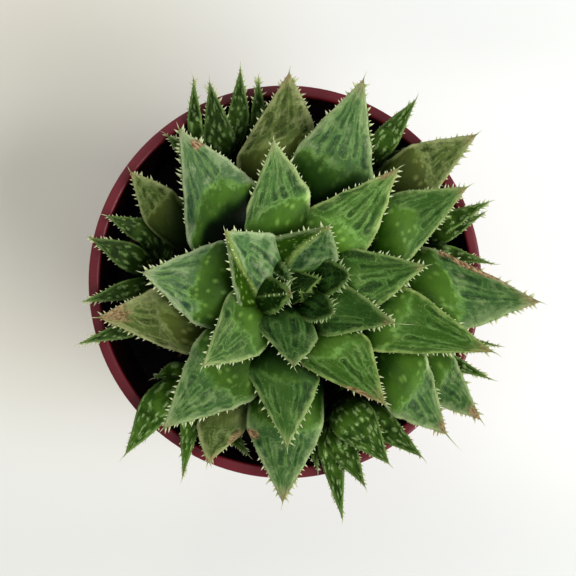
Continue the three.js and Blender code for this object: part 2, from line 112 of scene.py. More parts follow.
LEAVES = [
    ("heart_west", "deep", (-3, -3, 19), (1.5, -2.5, 24), 8.5, 0, 0, 5.5, 0.5, 1.2),
    ("heart_east", "deep", (9.5, 1, 19), (14, 1.5, 22.5), 8, 0, 0, 5.5, 0.1, 1.0),
    ("heart_south", "deep", (6.5, -5.5, 18), (10.5, -7, 22), 8, -15, 0, 5, 0.1, 1.0),
    ("heart_northwest", "deep", (-1.5, 2, 18), (1.5, -0.5, 22), 5.5, 20, 0, 4.5, 0.1, 0.8),
    ("inner_north", "deep", (4, 6, 18), (9.5, 12, 22.5), 14.5, 20, 26, 2, 0.5, 1.2),
    ("inner_west", "deep", (-5.5, 2, 17.5), (-13, 11, 22), 16.5, 16, 22, 1.5, 0.3, 1.2),
    ("inner_south", "deep", (0.5, -11, 18), (2, -18.5, 22), 13, 0, -25, 1, 0.4, 1.6),
    ("inner_east", "deep", (11.5, -6.5, 17), (24, -9, 21), 12, 0, -13, 1, 0.6, 4.5),
    ("inner_northeast", "bright", (16.5, 1, 15), (31, 3.5, 18.5), 14.5, 0, 16, -0.5, 0.4, 1.5),
    ("inner_southwest", "bright", (-9, -9.5, 15.5), (-18, -18.5, 19), 14.5, 0, -20, -1, 0.3, 1.2),
    ("inner_southeast", "bright", (11, -15.5, 14.5), (22, -27, 18), 15, -4, -20, -1.5, 0.8, 1.5),
    ("middle_northeast", "bright", (11.5, 11.5, 13.5), (25, 25, 16.5), 16, 0, 16, -3, 0.6, 1.5),
    ("middle_north", "bright", (-2, 15.5, 13), (-2.5, 31, 17), 16, -6, 26, -3.5, 0.3, 1.2),
    ("middle_west", "bright", (-16.5, -0.5, 11.5), (-31.5, 2, 14.5), 20, 0, -5, -4, 0.2, 1.5),
    ("middle_east", "bright", (24, -8.5, 12), (46, -15.5, 15), 16, 0, -11, -4.5, 0.7, 2.2),
    ("middle_south", "bright", (-0.5, -20.5, 11.5), (0.5, -36.5, 14.5), 16.5, 0, -15, -5, 0.3, 1.5),
    ("middle_eastnortheast", "bright", (25.5, 12, 10.5), (40.5, 21, 13.5), 15, 0, -15, -5.5, 0.6, 1.8),
    ("middle_northwest", "bright", (-14, 15, 9.5), (-23.5, 34, 12.5), 20, -5, 18, -6, 0.3, 1.6),
    ("middle_southwest", "deep", (-13.5, -19.5, 10), (-27, -32.5, 12.5), 19, -8, -3, -6.5, 0.4, 1.4),
    ("middle_northnortheast", "bright", (10.5, 25.5, 9), (17.5, 45, 12.5), 19, 5, 4, -7, 0.6, 2.0),
    ("middle_southeast", "bright", (27.5, -23, 9), (36, -34, 11), 14.5, 0, 19, -7, 1.0, 5.0),
    ("outer_east", "deep", (36, -1.5, 7.5), (57, -4.5, 9.5), 18, -8, 26, -8, 0.8, 1.8),
    ("outer_west", "olive", (-25.5, -9, 6), (-42, -8, 8), 15, -6, 26, -8.5, 0.9, 2.4),
    ("outer_south", "deep", (0, -32.5, 6), (-0.5, -49.5, 8), 17.5, 0, 0, -9, 0.8, 2.0),
    ("outer_southeast", "deep", (35, -21.5, 5), (44, -31, 7), 11.5, 0, 18, -9.5, 1.0, 2.0),
    ("outer_north", "olive", (-2, 31, 4.5), (1, 47, 8), 16.5, 0, 28, -10, 0.7, 1.8),
    ("outer_northeast", "olive", (30.5, 25, 5), (43, 33, 9), 12.5, 5, -10, -10, 0.7, 1.6),
    ("outer_northwest", "olive", (-28.5, 17, 3), (-35, 25, 5), 10, -10, 10, -10.5, 0.8, 1.4),
    ("outer_southwest", "olive", (-14.5, -33, 3), (-17.5, -41, 5), 11, 0, 14, -11, 0.8, 1.6),
]

# The share of a leaf's length at which the window begins, how much later it begins in the middle than at the
# margins, how much painted shade darkens the whole leaf (painted light lightens it where this is negative),
# the share below which its heel is darkened by painted shadow, and how bluish the window is.
USUAL_SKIN = (0.5, 0.05, 0.0, 0.49, 0.7)
SKINS = {
    "heart_west": (0.3, 0.05, 0.58, 0.49, 0.2),
    "heart_east": (0.3, 0.05, 0.63, 0.49, 0.2),
    "heart_south": (0.3, 0.05, 0.63, 0.49, 0.3),
    "heart_northwest": (0.3, 0.05, 0.64, 0.49, 0.7),
    "inner_north": (0.36, 0.05, 0.16, 0.49, 0.9),
    "inner_west": (0.38, 0.05, -0.22, 0.49, 1.0),
    "inner_south": (0.38, 0.05, 0.2, 0.49, 0.5),
    "inner_east": (0.4, 0.05, 0.25, 0.49, 0.3),
    "inner_northeast": (0.45, 0.05, 0.2, 0.54, 0.2),
    "inner_southwest": (0.46, 0.1, 0.0, 0.49, 0.4),
    "inner_southeast": (0.47, 0.05, 0.08, 0.49, 0.1),
    "middle_northeast": (0.5, 0.05, -0.16, 0.49, 0.2),
    "middle_north": (0.5, 0.05, -0.2, 0.47, 0.5),
    "middle_west": (0.55, 0.08, 0.0, 0.53, 1.0),
    "middle_east": (0.53, 0.05, 0.14, 0.56, 0.1),
    "middle_south": (0.5, 0.05, 0.18, 0.63, 0.3),
    "middle_eastnortheast": (0.46, 0.16, 0.17, 0.52, 0.3),
    "middle_northwest": (0.47, 0.18, 0.0, 0.53, 1.0),
    "middle_southwest": (0.5, 0.12, 0.0, 0.49, 0.7),
    "middle_northnortheast": (0.5, 0.05, 0.0, 0.61, 0.7),
    "middle_southeast": (0.5, 0.1, 0.12, 0.49, 0.7),
    "outer_northeast": (0.5, 0.05, 0.1, 0.49, 0.7),
    "outer_northwest": (0.5, 0.05, 0.15, 0.56, 0.7),
    "outer_southwest": (0.44, 0.05, 0.12, 0.49, 0.7),
}

# Leaves folded along one side: the side (right is +1), the share of the half width at which the fold lies,
# and the slope beyond it. The part past the fold shows the leaf's back.
FOLDS = {
    "inner_north": (-1, 0.3, 0.6),
    "inner_west": (-1, 0.5, 0.6),
}

# Share of the length below which a heel is painted almost black at once: painted shade of the dark gap
# beneath its neighbours.
NO_GAP_SHADE = -1.0
GAP_SHADES = {
    "middle_northwest": 0.5,
}

# Dried or scarred places: leaf, share of its length, share across (right is +1), length, width and strength.
SCARS = [
    ("middle_northwest", 0.87, 0.75, 0.035, 0.45, 1.0),
    ("inner_southeast", 0.86, 0.9, 0.1, 0.35, 0.9),
    ("outer_east", 0.7, -1.0, 0.2, 0.24, 1.0),
    ("middle_northeast", 0.93, -0.6, 0.05, 0.5, 0.8),
    ("outer_southwest", 0.62, -0.9, 0.1, 0.3, 0.7),
    ("outer_south", 0.56, 0.9, 0.035, 0.2, 0.9),
    ("outer_west", 0.9, 0.5, 0.14, 0.9, 0.75),
    ("middle_southeast", 0.95, -0.5, 0.06, 0.9, 0.8),
    ("outer_southeast", 0.93, 0.0, 0.08, 1.0, 0.8),
]

# ---------------- offsets
# name, place in the soil, how light its green is from 0 to 1, and its leaves as knee x, y, z, tip x, y, z
# and width.

# share of the length below which an offset's heel is darkened by painted shadow
OFFSET_SHADOW = 0.26
OFFSETS = [
    ("northwest", (-14.5, 27), 0.15, [
        (-20.5, 36.5, 2, -20.5, 45.5, 6, 3.5),
        (-15, 33, 0, -17, 45, 5, 7.5),
        (-10.5, 38, 1.5, -10, 48, 6, 5),
        (-6, 38.5, 1, -6, 46, 5, 3.5),
        (-22.5, 29.5, -3, -27, 33.5, 1.5, 4),
    ]),
    ("west", (-29.5, 1), 0.3, [
        (-33.5, 12, -0.5, -40.5, 15, 3.5, 5.5),
        (-36, 6, 1.5, -44, 10, 5.5, 6.5),
        (-36.5, -2, 1.5, -45.5, -4.5, 5, 4.5),
        (-35.5, -10.5, 1.5, -46.5, -14, 5, 4.5),
        (-29, 11, -4, -33, 19, 0, 6),
    ]),
    ("southwest", (-20, -22.5), 1.0, [
        (-29, -28.5, 3.5, -36, -39, 6.5, 8),
        (-26, -20.5, -4, -30, -22, -1, 4),
        (-21.5, -31.5, 1, -23, -44, 5.5, 5),
        (-15, -32, -5, -8, -40, -1, 5.5),
    ]),
    ("southeast", (12.5, -26), 0.8, [
        (16, -32, 4, 23.5, -41, 6.5, 10.5),
        (10.5, -39, 1, 13, -53.5, 6, 6),
        (13, -37.5, 1.5, 18, -46, 6, 7),
        (22, -32.5, 1.5, 31, -39.5, 6, 7),
        (6, -36, -2, 7.5, -43, 2, 3.5),
    ]),
    ("northeast", (16.5, 23.5), 0.5, [
        (23, 32.5, 4, 29.5, 41, 7, 6),
        (24.5, 28.5, -3, 28.5, 30.5, 0, 3),
    ]),
    ("east", (31, 7.5), 0.5, [
        (37.5, 14, 3, 46, 18, 6, 4.5),
        (37, 11.5, 2, 45, 15.5, 5, 4.5),
        (37.5, 6.5, 2.5, 47, 4, 5, 3.5),
    ]),
    ("eastsoutheast", (30, -12.5), 0.5, [
        (37.5, -13, 3, 48.5, -14.5, 5, 3.5),
        (36.5, -17.5, 2.5, 46.5, -22, 5, 4),
    ]),
]

# The leaves of the bud, folded over each other: knee and tip from the stem's axis, and width.
BUD_LEAVES = [
    ((-3.4, 1.0, 15.0), (3.0, 2.6, 20.0), 8.5),
    ((1.6, -2.6, 14.0), (-1.6, -0.2, 18.5), 7.0),
    ((3.0, 0.6, 14.0), (1.8, -2.4, 18.5), 6.0),
]

# ---------------- colours

TOOTH_PALE = (208, 212, 172)
TOOTH_GREEN = (122, 148, 86)
DRY_BROWN = (118, 84, 58)
DRY_PINK = (186, 156, 124)
SHADE_TINT = (0.45, 0.0, 0.55)   # what full shade takes off red, green and blue besides
FLESH_DEPTH = 1.1                # how deep light goes into a leaf
FLESH_TINT = (0.7, 1.0, 0.35)

# Where two colours are given, the second is that of the cloudy patches of the heel and the back, and of the
# bluish windows and their rims.
PALETTES = {
    "deep": {
        "heel": ((32, 58, 4), (56, 88, 12)),
        "mid": ((52, 84, 18), (70, 101, 61)),
        "pane": ((28, 52, 10), (42, 66, 42)),
        "line": (120, 152, 88),
        "rim": ((150, 168, 96), (168, 184, 140)),
        "back": ((34, 62, 6), (60, 92, 16)),
        "dot": (132, 160, 84),
        "shine": 0.07,
    },
    "bright": {
        "heel": ((36, 66, 4), (62, 96, 12)),
        "mid": ((62, 96, 22), (86, 115, 75)),
        "pane": ((36, 64, 12), (52, 78, 54)),
        "line": (132, 166, 98),
        "rim": ((166, 184, 110), (182, 196, 152)),
        "back": ((42, 66, 12), (72, 98, 26)),
        "dot": (134, 166, 84),
        "shine": 0.1,
    },
    "olive": {
        "heel": ((44, 54, 8), (66, 76, 16)),
        "mid": ((74, 90, 32), (88, 104, 54)),
        "pane": ((48, 60, 16), (58, 72, 32)),
        "line": (142, 156, 98),
        "rim": ((176, 180, 116), (182, 186, 138)),
        "back": ((50, 60, 12), (84, 92, 32)),
        "dot": (144, 152, 90),
        "shine": 0.1,
    },
}

# ---------------- light and camera, in metres but for EYE

LIGHTS = [
    ("window_light", (0.66, -0.26, 0.72), 0.9, 8.0, (1.0, 0.99, 0.97)),
    ("fill_light", (-0.3, 0.5, 0.9), 1.1, 1.5, (0.97, 0.99, 1.0)),
]
SKY = (0.96, 0.98, 1.0, 1)
SKY_STRENGTH = 0.41
FLOOR_REACH = 3.0
EYE = (0.7, -1.4, 476)           # straight above, 400 mm over the rim
FIELD = 131.5                    # width of the picture at the rim
SENSOR = 36.0

# ---------------- small sums

def unit(v):
    """v with a length of one, along its last axis."""
    return v / np.maximum(np.linalg.norm(v, axis=-1, keepdims=True), 1e-12)

def mix(a, b, share):
    return a + (b - a) * share

def smooth(start, end, value):
    x = np.clip((np.asarray(value, float) - start) / (end - start), 0, 1)
    return x * x * (3 - 2 * x)

def ripples(seed, count, scale, points):
    """A smooth uneven function of points, from -1 to 1, made of a few waves."""
    rng = np.random.default_rng(seed)
    ways = unit(rng.normal(size=(count, 3))) * scale * rng.uniform(0.6, 1.7, (count, 1))
    phases = rng.uniform(0, 2 * math.pi, count)
    return np.sin(points @ ways.T + phases).mean(axis=-1) * 1.6

def circle(radius, height, around, at=(0, 0)):
    """Points at one height round an upright axis."""
    angle = 2 * math.pi * np.arange(around) / around
    x, y = at[0] + radius * np.cos(angle), at[1] + radius * np.sin(angle)
    return np.stack([x, y, np.full(around, float(height))], axis=1)

def rim_point(x, y, z):
    """A point given from the pot's axis and above its rim."""
    return np.array([x, y, z + POT_HEIGHT], float)

# ---------------- meshes

def tube_faces(rings, around):
    """Quads between rings of points that follow each other."""
    faces = []
    for a in range(0, (rings - 1) * around, around):
        b = a + around
        for j in range(around):
            k = (j + 1) % around
            faces.append((a + j, a + k, b + k, b + j))
    return faces

def capped(rings, around, outward=True):
    """A tube closed at both ends by fans. Their middle points follow the rings, the first ring's first."""
    first = rings * around
    last = first - around
    faces = tube_faces(rings, around)
    faces += [(first, (k + 1) % around, k) for k in range(around)]
    faces += [(first + 1, last + k, last + (k + 1) % around) for k in range(around)]
    return faces if outward else [face[::-1] for face in faces]

def spike(base, ahead, bend, length, radius, thin=1.0, rings=4):
    """A curved cone, thin times as thick as it is wide: its points, faces and shares of its length."""
    ahead = unit(ahead)
    across = unit(np.cross(ahead, bend + UP * 1e-3 + np.array([1e-4, 0, 0])))
    cosine, sine, _ = circle(1, 0, SPIKE_SIDES).T[..., None]
    ring = thin * cosine * across + sine * np.cross(ahead, across)
    share = (np.arange(rings) / rings)[:, None, None]
    middle = base + ahead * length * share + bend * length * share**2
    points = middle + ring * radius * (1 - share) ** 0.9
    tip = rings * SPIKE_SIDES
    last = tip - SPIKE_SIDES
    faces = tube_faces(rings, SPIKE_SIDES)
    faces += [(last + k, last + (k + 1) % SPIKE_SIDES, tip) for k in range(SPIKE_SIDES)]
    shares = np.append(np.repeat(share, SPIKE_SIDES), 1.0)
    return np.concatenate([points.reshape(-1, 3), [base + (ahead + bend) * length]]), faces, shares

def add_object(name, data):
    thing = bpy.data.objects.new(name, data)
    bpy.context.scene.collection.objects.link(thing)
    return thing

class Sculpt:
    """Points, faces and per-point values of one piece while it is put together."""

    VALUES = ("along", "front", "window", "pane", "border", "tooth", "brown", "shade", "cool", "glow")

    def __init__(self):
        self.points = []
        self.places = []
        self.values = {name: [] for name in self.VALUES}
        self.faces = []
        self.count = 0

    def add(self, points, faces, places=None, **values):
        points = np.asarray(points, float)
        self.points.append(points)
        self.places.append(points if places is None else places)
        for name in self.VALUES:
            value = np.asarray(values.get(name, 0.0), float)
            self.values[name].append(np.broadcast_to(value, (len(points),)))
        self.faces.extend(tuple(int(i) + self.count for i in face) for face in faces)
        self.count += len(points)

    def make(self, name, material):
        mesh = bpy.data.meshes.new(name)
        mesh.from_pydata((np.concatenate(self.points) * MM).tolist(), [], self.faces)
        place = mesh.attributes.new("place", "FLOAT_VECTOR", "POINT")
        place.data.foreach_set("vector", np.concatenate(self.places).astype(np.float32).ravel())
        for value_name, parts in self.values.items():
            layer = mesh.attributes.new(value_name, "FLOAT", "POINT")
            layer.data.foreach_set("value", np.concatenate(parts).astype(np.float32))
        mesh.polygons.foreach_set("use_smooth", [True] * len(mesh.polygons))
        mesh.materials.append(material)
        mesh.update()
        return add_object(name, mesh)

# ---------------- the form of a leaf

@dataclass
class Leaf:
    """One leaf: the same middle line, frame and sizes as its solid, drawn more finely."""

    root: np.ndarray
    knee: np.ndarray
    tip: np.ndarray
    width: float
    seed: int
    roll: float = 0
    skew: float = 0
    plump: bool = False
    start: float = 0.5
    bulge: float = 0.05
    shade: float = 0.0
    shadow: float = 0.49
    fold: tuple = None
    gap_shade: float = NO_GAP_SHADE
    taper: float = 1.0

    def __post_init__(self):
        self.slant = math.tan(math.radians(self.skew))
        self.length = np.linalg.norm(self.knee - self.root) + np.linalg.norm(self.tip - self.knee)

    def ripples(self, key, count, scale, points):
        return ripples(self.seed + key, count, scale, points)

    def middle(self, t):
        """Points and directions of the middle line at shares t of the length."""
        rise = self.knee - self.root
        end = unit(self.tip - self.knee)
        reach = np.linalg.norm(rise)
        first = self.root + rise * HEEL_REACH + UP * reach * HEEL_LIFT
        second = self.knee - end * reach * HEEL_REACH
        v = np.clip(t / KNEE_AT, 0, 1)[:, None]
        w = 1 - v
        heel = w**3 * self.root + 3 * v * w**2 * first + 3 * v**2 * w * second + v**3 * self.knee
        turn = w**2 * (first - self.root) + 2 * v * w * (second - first) + v**2 * (self.knee - second)
        blade = self.knee + (self.tip - self.knee) * ((t - KNEE_AT) / (1 - KNEE_AT))[:, None]
        on_heel = (t < KNEE_AT)[:, None]
        return np.where(on_heel, heel, blade), unit(np.where(on_heel, turn, end))

    def frames(self, t):
        """Middle, and the directions along, to the right and up, at shares t of the length."""
        middle, along = self.middle(t)
        outward = unit(np.cross((self.knee - self.root) * (1, 1, 0), UP))
        ahead = unit(np.cross(self.tip - self.knee, UP))
        if ahead @ outward < 0:
            ahead = -ahead
        side = mix(outward, ahead, smooth(0.1, KNEE_AT, t)[:, None])
        side = unit(side - along * (side * along).sum(1, keepdims=True))
        turn = (math.radians(self.roll) * smooth(0, KNEE_AT, t))[:, None]
        side = side * np.cos(turn) + np.cross(along, side) * np.sin(turn)
        return middle, along, side, np.cross(side, along)

    def half(self, t):
        """Half the width, with the shoulders a little rounded."""
        total = 0
        for step in (-0.035, -0.0175, 0, 0.0175, 0.035):
            s = np.clip(t + step * smooth(1, 0.8, t), 0, 1)
            u = np.clip((s - KNEE_AT) / (1 - KNEE_AT), 0, 1)
            heel = np.sin(math.pi * np.minimum(s, KNEE_AT))
            blade = (1 - u) ** self.taper * (1 + 0.3 * u * (1 - u))
            total = total + self.width * 0.5 * mix(0.26, 1, heel) * blade
        return total / 5

    def heights(self, t):
        """Height of the crown over the margins and depth of the keel under them."""
        u = np.clip((t - KNEE_AT) / (1 - KNEE_AT), 0, 1)
        heel = np.sin(math.pi * np.minimum(t, KNEE_AT))
        swell = 0.11 * smooth(0.05, 0.36, t) * smooth(0.68, 0.42, t) if self.plump else 0
        crown = self.width * (mix(0.07, 0.08, heel) * (1 - u) ** 1.2 + swell)
        return crown, self.width * mix(0.1, 0.33, heel) * (1 - u) ** 0.85

    def past_fold(self, x):
        """How far x lies past the fold, as a share of the half width, or 0 before it."""
        if self.fold is None:
            return 0 * x
        side, at, _ = self.fold
        return np.maximum(side * x - at, 0)

    def drop(self, t, x):
        """How far the part past the fold hangs below the rest of the leaf."""
        if self.fold is None:
            return 0 * (t * x)
        return self.past_fold(x) * self.half(t) * self.fold[2] * smooth(0.2, 0.45, t)

    def at(self, t, x, y=0.0):
        """One point at share t along, share x of the half width across and y up, with its frame."""
        t = np.array([float(t)])
        middle, along, side, up = self.frames(t)
        reach = self.half(t) * x
        slant = self.slant * smooth(0.15, KNEE_AT, t)
        point = middle + side * reach + along * reach * slant + up * (y - self.drop(t, x))
        return point[0], along[0], side[0], up[0]

def leaf_stations(plump):
    if plump:
        parts = (0, 0.34, 12), (0.36, 0.52, 14), (0.53, 0.994, 48)
    else:
        parts = (0, 0.4, 9), (0.44, 0.99, 20)
    return np.concatenate([np.linspace(*part) for part in parts])

def pane_field(leaf, tt, xx, half, places):
    """Distance in mm to the nearest dark pane of the window, negative inside it. The panes are long tongues
    side by side that narrow towards the tip, and their round ends make the window's start scalloped."""
    rng = np.random.default_rng(500 + leaf.seed)
    across = xx * half + 0.4 * leaf.ripples(70, 8, 0.8, places)
    along = tt * leaf.length + 1.1 * leaf.ripples(71, 6, 0.6, places)
    count = max(4, round(leaf.width / PANE_WIDTH))
    cuts = np.linspace(-0.95, 0.95, count + 1) + rng.uniform(-0.4, 0.4, count + 1) / count
    vein = 0.26 * (half * 2 / leaf.width) ** 0.6
    field = np.full(tt.shape, 3.0)
    for left, right in zip(cuts, cuts[1:]):
        middle = (left + right) / 2
        t = leaf.start + leaf.bulge * (1 - middle**2) + rng.uniform(-0.02, 0.06)
        while t < 0.93:
            long = rng.uniform(0.14, 0.46)
            centre = middle + rng.uniform(-0.12, 0.12) * (right - left)
            wide = np.maximum((right - left) / 2 * rng.uniform(0.6, 1.0) * half - vein, 0.03)
            round_end = np.minimum(wide, 0.9)
            aside = np.abs(across - centre * half) - wide + round_end
            ahead = np.abs(along - (t + long / 2) * leaf.length) - long / 2 * leaf.length + round_end
            far = np.hypot(np.maximum(aside, 0), np.maximum(ahead, 0)) - round_end
            far = far + np.minimum(np.maximum(aside, ahead), 0)
            if rng.uniform() > 0.12:
                field = np.minimum(field, far)
            t += long + rng.uniform(0.01, 0.05)
    return field + 0.3 * leaf.ripples(72, 12, 1.8, places)

def add_blade(sculpt, leaf, scars=(), tip_brown=0.0, cool=0.0):
    """The leaf's body: a boat-shaped back and a gently crowned face with a thin margin."""
    face_count, back_count = FINE if leaf.plump else COARSE
    columns = np.linspace(1, -1, face_count)
    columns = columns * (1.25 - 0.25 * columns**2)
    x = np.concatenate([columns, -np.cos(math.pi * np.arange(1, back_count) / back_count)])
    is_edge = np.abs(x) > 1 - 1e-9
    is_face = (np.arange(len(x)) < face_count) & ~is_edge

    stations = leaf_stations(leaf.plump)
    t = stations[:, None]
    crown, keel = leaf.heights(t)
    half = leaf.half(t)
    margin = np.minimum(MARGIN, half * 0.6)
    sharp = smooth(0.3, TOOTHED_FROM, t)
    lip = np.sqrt(np.clip(1 - x**8, 0, 1)) * margin
    face = lip + np.maximum(crown - margin, 0) * (1 - x**2)
    flank = (1 - np.abs(x) ** mix(2.0, 1.5, sharp)) ** mix(0.5, 0.62, sharp)
    back = -lip - np.maximum(keel - margin, 0) * flank
    y = np.where(is_face, face, np.where(is_edge, 0, back))
    middle, along, side, up = (value[:, None] for value in leaf.frames(stations))
    wavy = leaf.ripples(30, 6, 0.8, (t * leaf.length)[..., None] * (0, 1, 0))
    reach = half * x * (1 + 0.05 * wavy * np.sign(x) * smooth(0.4, 0.6, t))
    slanted = reach * leaf.slant * smooth(0.15, KNEE_AT, t)
    points = middle + side * reach[..., None] + along * slanted[..., None] + up * y[..., None]
    wobble = leaf.ripples(0, 7, 0.55, points) * 0.012 * leaf.width
    wobble *= (np.abs(y) / (0.08 * leaf.width)).clip(0, 1) * smooth(0, 0.2, t)
    points = points + up * (wobble * np.sign(y) - leaf.drop(t, x))[..., None]

    t = t + 0 * reach
    x = x + 0 * reach
    depth = np.where(is_face, 0.0, BACK_APART) + 0 * reach
    places = np.stack([x * leaf.width / 2, t * leaf.length, depth], axis=-1) + leaf.seed * MARKS_APART
    start = leaf.start + leaf.bulge * (1 - x**2) + 0.035 * leaf.ripples(50, 5, 0.8, places)
    pane = pane_field(leaf, t, x, half, places) if leaf.plump else 0
    border = np.clip((1 - np.abs(x)) * half, 0, 4)
    if leaf.plump:
        keel_line = np.abs(x) * half * 1.4 + 0.2 + 2 * smooth(leaf.start + 0.15, leaf.start, t)
        border = np.where(is_face | is_edge, border, np.minimum(border, keel_line))
    if leaf.fold is not None:
        fold_side, fold_at, _ = leaf.fold
        to_fold = np.abs(fold_side * x - fold_at) * half
        border = np.where(is_face, np.minimum(border, to_fold * 1.1), border)
        cool = cool * smooth(0.3, 1.0, to_fold)
    uneven = 0.05 * leaf.ripples(9, 6, 1.5, places)
    brown = tip_brown * smooth(0.94 - 0.1 * tip_brown, 1.0, t + uneven)
    uneven = 0.2 * leaf.ripples(0, 5, 2, places)
    for scar_at, across, long, wide, strength in scars:
        far = np.hypot((t - scar_at) / long, (x - across) / wide)
        brown = np.maximum(brown, strength * smooth(1.25, 0.6, far + uneven))

    # Painted light and shade: a painted shadow darkens the heel towards the root, painted shade darkens its
    # curved sides, and painted light brightens it just below the window; they multiply with the leaf's own
    # painted shade.
    deep = smooth(leaf.shadow, leaf.shadow - 0.2, t + 0.02 * leaf.ripples(60, 5, 0.5, places))
    sides = smooth(0.55, 1.0, np.abs(x)) * smooth(0.52, 0.4, t)
    glow = smooth(start - 0.26, start - 0.05, t) * smooth(start + 0.05, start - 0.02, t)
    glow = glow * (1 - sides)
    # painted shade: below the gap share the heel is painted almost black, as the gap under the neighbouring
    # leaves
    gap_shade = leaf.gap_shade + 0.045 * (1 - x**2) + 0.02 * leaf.ripples(61, 5, 0.8, places)
    light = (1 - leaf.shade) * (1 - 0.86 * deep) * (1 - 0.45 * sides) * (1 + 0.4 * glow)
    light = light * (1 - 0.93 * smooth(gap_shade, gap_shade - 0.06, t))

    # Every value over the blade, then at the point of the root and at that of the tip.
    values = {
        "along": (t, 0, 1),
        "front": (np.where(leaf.past_fold(x) > 0, 0.0, np.where(is_edge, 0.5, is_face)), 0.5, 0.5),
        "window": (np.clip((t - start) / 0.12 + 0.5, 0, 1), 0, 1),
        "pane": (pane, 1, 1),
        "border": (border, 1, 0),
        "brown": (brown, 0, tip_brown),
        "shade": (1 - light, 0.5, leaf.shade),
        "cool": (cool, 0.5, 0.5),
        "glow": (glow, 0, 0),
    }
    for name, (over, root, tip) in values.items():
        values[name] = np.concatenate([np.broadcast_to(over, t.shape).ravel(), [root, tip]])
    points = np.concatenate([points.reshape(-1, 3), [leaf.root, leaf.tip]])
    places = np.concatenate([places.reshape(-1, 3), places[0, :1], places[-1, :1]])
    sculpt.add(points, capped(*t.shape, outward=False), places, **values)

def add_spike(sculpt, leaf, base, ahead, bend, length, radius, brown, along=1.0, **shape):
    points, faces, shares = spike(base, ahead, bend, length, radius, **shape)
    shares = mix(0.35, 1.0, shares)
    sculpt.add(points, faces, points + leaf.seed * 3.1, along=along, front=1.0, window=1.0, tooth=shares,
               brown=brown * shares, shade=leaf.shade)

def add_tooth(sculpt, leaf, t, x, y, out, along, length, brown, rng):
    bend = along * rng.uniform(0.1, 0.6) + out * rng.uniform(-0.1, 0.1)
    wide = TOOTH_WIDE * length**0.5 * rng.uniform(0.8, 1.3)
    base = leaf.at(t, x, y)[0] - unit(out) * SUNK
    add_spike(sculpt, leaf, base, out, bend, length + SUNK, wide, brown, t, thin=TOOTH_THIN)

def add_teeth(sculpt, leaf, length, pitch, brown, rng, keeled=0.0):
    """Teeth on both margins, closer together towards the tip, and finer ones on the fold and the keel."""
    blade = np.linalg.norm(leaf.tip - leaf.knee) / (1 - KNEE_AT)
    lines = [(-1.0, 1.0), (1.0, 1.0)]
    if leaf.fold is not None:
        lines.append((leaf.fold[0] * leaf.fold[1], 0.45))
    for x, scale in lines:
        t = TOOTHED_FROM + rng.uniform(0, 0.02)
        while t < 0.985:
            _, along, side, up = leaf.at(t, x)
            near_tip = float(smooth(0.55, 0.95, t))
            size = length * scale * (0.3 + 1.1 * rng.uniform() ** 1.4)
            size *= mix(0.15, 1.0, float(smooth(0.48, 0.82, t)))
            out = side * np.sign(x) + along * rng.uniform(0.1, 1.1) + up * rng.uniform(-0.3, 0.4)
            crown = leaf.heights(t)[0] * (1 - x * x)
            add_tooth(sculpt, leaf, t, x, crown, out, along, size, brown * mix(0.2, 1.0, near_tip), rng)
            t += pitch * mix(1.1, 0.6, near_tip) * rng.uniform(0.45, 1.55) / blade
    if keeled:
        t = rng.uniform(0.55, 0.6)
        while t < 0.985:
            _, along, side, up = leaf.at(t, 0.0)
            aside = rng.choice([-1, 1]) * rng.uniform(0.6, 1.1)
            out = -0.6 * up + along * rng.uniform(0.2, 0.8) + side * aside
            size = length * keeled * rng.uniform(0.5, 1.1)
            add_tooth(sculpt, leaf, t, 0.0, -leaf.heights(t)[1], out, along, size, brown, rng)
            t += pitch * 1.1 * rng.uniform(0.7, 1.4) / blade

def add_awn(sculpt, leaf, length, brown, rng):
    """The bristle on the tip."""
    _, along, side, up = leaf.at(1.0, 0.0)
    bend = side * rng.uniform(-0.3, 0.3) + up * rng.uniform(-0.15, 0.25)
    base = leaf.tip - along * AWN_SUNK
    add_spike(sculpt, leaf, base, along, bend, length + AWN_SUNK, AWN_RADIUS, brown, rings=6)

# ---------------- material nodes

def linear(red, green, blue):
    """A colour given in screen values, as Blender takes it."""
    channels = []
    for value in (red, green, blue):
        share = value / 255
        channels.append(share / 12.92 if share <= 0.04045 else ((share + 0.055) / 1.055) ** 2.4)
    return (*channels, 1.0)

@dataclass
class Wire:
    """The output of a node. Sums and products with it add a math node."""

    graph: "Graph"
    socket: bpy.types.NodeSocket

    def __add__(self, other):
        return self.graph.math("ADD", self, other)

    def __sub__(self, other):
        return self.graph.math("SUBTRACT", self, other)

    def __rsub__(self, other):
        return self.graph.math("SUBTRACT", other, self)

    def __mul__(self, other):
        return self.graph.math("MULTIPLY", self, other)

    def __abs__(self):
        return self.graph.math("ABSOLUTE", self)

